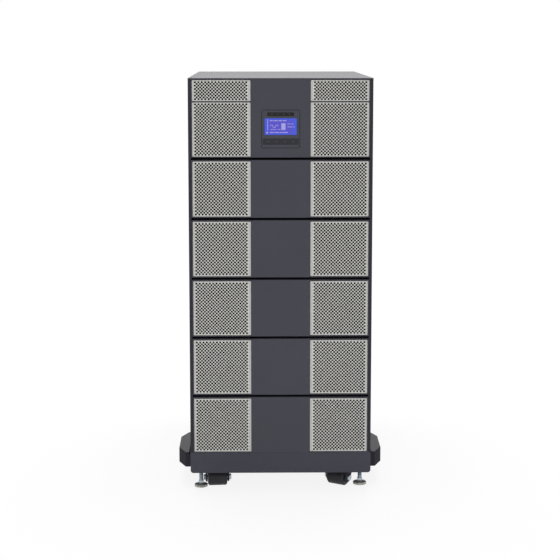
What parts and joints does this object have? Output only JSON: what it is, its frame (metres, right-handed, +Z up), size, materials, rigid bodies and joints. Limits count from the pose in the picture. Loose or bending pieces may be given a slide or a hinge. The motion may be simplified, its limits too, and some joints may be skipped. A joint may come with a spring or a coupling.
{
  "type": "rack-tower uninterruptible power supply",
  "caption": "Tall modular power-supply tower on swivel casters, with perforated metal grilles beside dark centre panels, a blue display in the head row, side stabilisers and levelling feet.",
  "frame": {"origin": "on the floor, under the middle of the whole object's box", "axes": "+Z up, -Y is the front with the display, +X to the right seen from the front"},
  "size_m": [0.494, 0.72, 0.987],
  "materials": {
    "chassis_paint": "fine-textured charcoal powder coat",
    "inner_black": "matte black",
    "bezel_plastic": "fine-grained blue-grey moulding",
    "grille_metal": "warm silver-grey perforated sheet",
    "display_plastic": "satin moulding",
    "display_glass": "back-lit blue panel behind a clear window",
    "status_gloss": "black gloss strip with status dots",
    "key_plastic": "satin keys",
    "zinc_plate": "bright zinc plate",
    "module_case": "dark module case",
    "wheel_nylon": "black nylon"
  },
  "bodies": {
    "cabinet": {"left_side_panel": "chassis_paint", "right_side_panel": "chassis_paint", "top_cover": "chassis_paint", "rear_panel": "chassis_paint", "front_frame": "inner_black", "row_shelves": "inner_black", "base_skirt": "chassis_paint", "base_plate": "chassis_paint", "left_stabiliser": "chassis_paint", "right_stabiliser": "chassis_paint", "head_bezel": "bezel_plastic", "head_upper_grilles": "grille_metal", "head_lower_grilles": "grille_metal", "display_housing": "display_plastic", "display_window": "display_glass", "status_strip": "status_gloss", "keypad": "key_plastic", "rear_exhaust_grilles": "chassis_paint", "card_slot_covers": "zinc_plate", "terminal_cover": "chassis_paint", "caster_plates": "zinc_plate", "plug_in_modules": "module_case", "row_2_bezel": "bezel_plastic", "row_2_grilles": "grille_metal", "row_3_bezel": "bezel_plastic", "row_3_grilles": "grille_metal", "row_4_bezel": "bezel_plastic", "row_4_grilles": "grille_metal", "row_5_bezel": "bezel_plastic", "row_5_grilles": "grille_metal", "row_6_bezel": "bezel_plastic", "row_6_grilles": "grille_metal"},
    "front_left_caster": {"front_left_caster_fork": "chassis_paint", "front_left_caster_axle": "zinc_plate"},
    "front_left_wheel": {"front_left_caster_wheel": "wheel_nylon"},
    "front_left_foot": {"front_left_levelling_foot": "zinc_plate"},
    "front_right_caster": {"front_right_caster_fork": "chassis_paint", "front_right_caster_axle": "zinc_plate"},
    "front_right_wheel": {"front_right_caster_wheel": "wheel_nylon"},
    "front_right_foot": {"front_right_levelling_foot": "zinc_plate"},
    "rear_left_caster": {"rear_left_caster_fork": "chassis_paint", "rear_left_caster_axle": "zinc_plate"},
    "rear_left_wheel": {"rear_left_caster_wheel": "wheel_nylon"},
    "rear_left_foot": {"rear_left_levelling_foot": "zinc_plate"},
    "rear_right_caster": {"rear_right_caster_fork": "chassis_paint", "rear_right_caster_axle": "zinc_plate"},
    "rear_right_wheel": {"rear_right_caster_wheel": "wheel_nylon"},
    "rear_right_foot": {"rear_right_levelling_foot": "zinc_plate"}
  },
  "joints": [
    {"name": "front_left_swivel", "type": "hinge", "parent": "cabinet", "child": "front_left_caster", "pos_m": [-0.155, -0.269, 0.045], "axis": [0, 0, 1], "continuous": true},
    {"name": "front_left_roll", "type": "hinge", "parent": "front_left_caster", "child": "front_left_wheel", "pos_m": [-0.15282, -0.2939, 0.02], "axis": [0.9962, 0.0872, 0], "continuous": true},
    {"name": "front_left_foot_screw", "type": "slide", "parent": "cabinet", "child": "front_left_foot", "axis": [0, 0, 1], "range_m": [-0.015, 0.012]},
    {"name": "front_right_swivel", "type": "hinge", "parent": "cabinet", "child": "front_right_caster", "pos_m": [0.155, -0.269, 0.045], "axis": [0, 0, 1], "continuous": true},
    {"name": "front_right_roll", "type": "hinge", "parent": "front_right_caster", "child": "front_right_wheel", "pos_m": [0.14138, -0.28997, 0.02], "axis": [0.8387, -0.5446, 0], "continuous": true},
    {"name": "front_right_foot_screw", "type": "slide", "parent": "cabinet", "child": "front_right_foot", "axis": [0, 0, 1], "range_m": [-0.015, 0.012]},
    {"name": "rear_left_swivel", "type": "hinge", "parent": "cabinet", "child": "rear_left_caster", "pos_m": [-0.155, 0.247, 0.045], "axis": [0, 0, 1], "continuous": true},
    {"name": "rear_left_roll", "type": "hinge", "parent": "rear_left_caster", "child": "rear_left_wheel", "pos_m": [-0.1498, 0.27145, 0.02], "axis": [-0.9781, 0.2079, 0], "continuous": true},
    {"name": "rear_left_foot_screw", "type": "slide", "parent": "cabinet", "child": "rear_left_foot", "axis": [0, 0, 1], "range_m": [-0.015, 0.012]},
    {"name": "rear_right_swivel", "type": "hinge", "parent": "cabinet", "child": "rear_right_caster", "pos_m": [0.155, 0.247, 0.045], "axis": [0, 0, 1], "continuous": true},
    {"name": "rear_right_roll", "type": "hinge", "parent": "rear_right_caster", "child": "rear_right_wheel", "pos_m": [0.14811, 0.27103, 0.02], "axis": [-0.9613, -0.2756, 0], "continuous": true},
    {"name": "rear_right_foot_screw", "type": "slide", "parent": "cabinet", "child": "rear_right_foot", "axis": [0, 0, 1], "range_m": [-0.015, 0.012]}
  ]
}
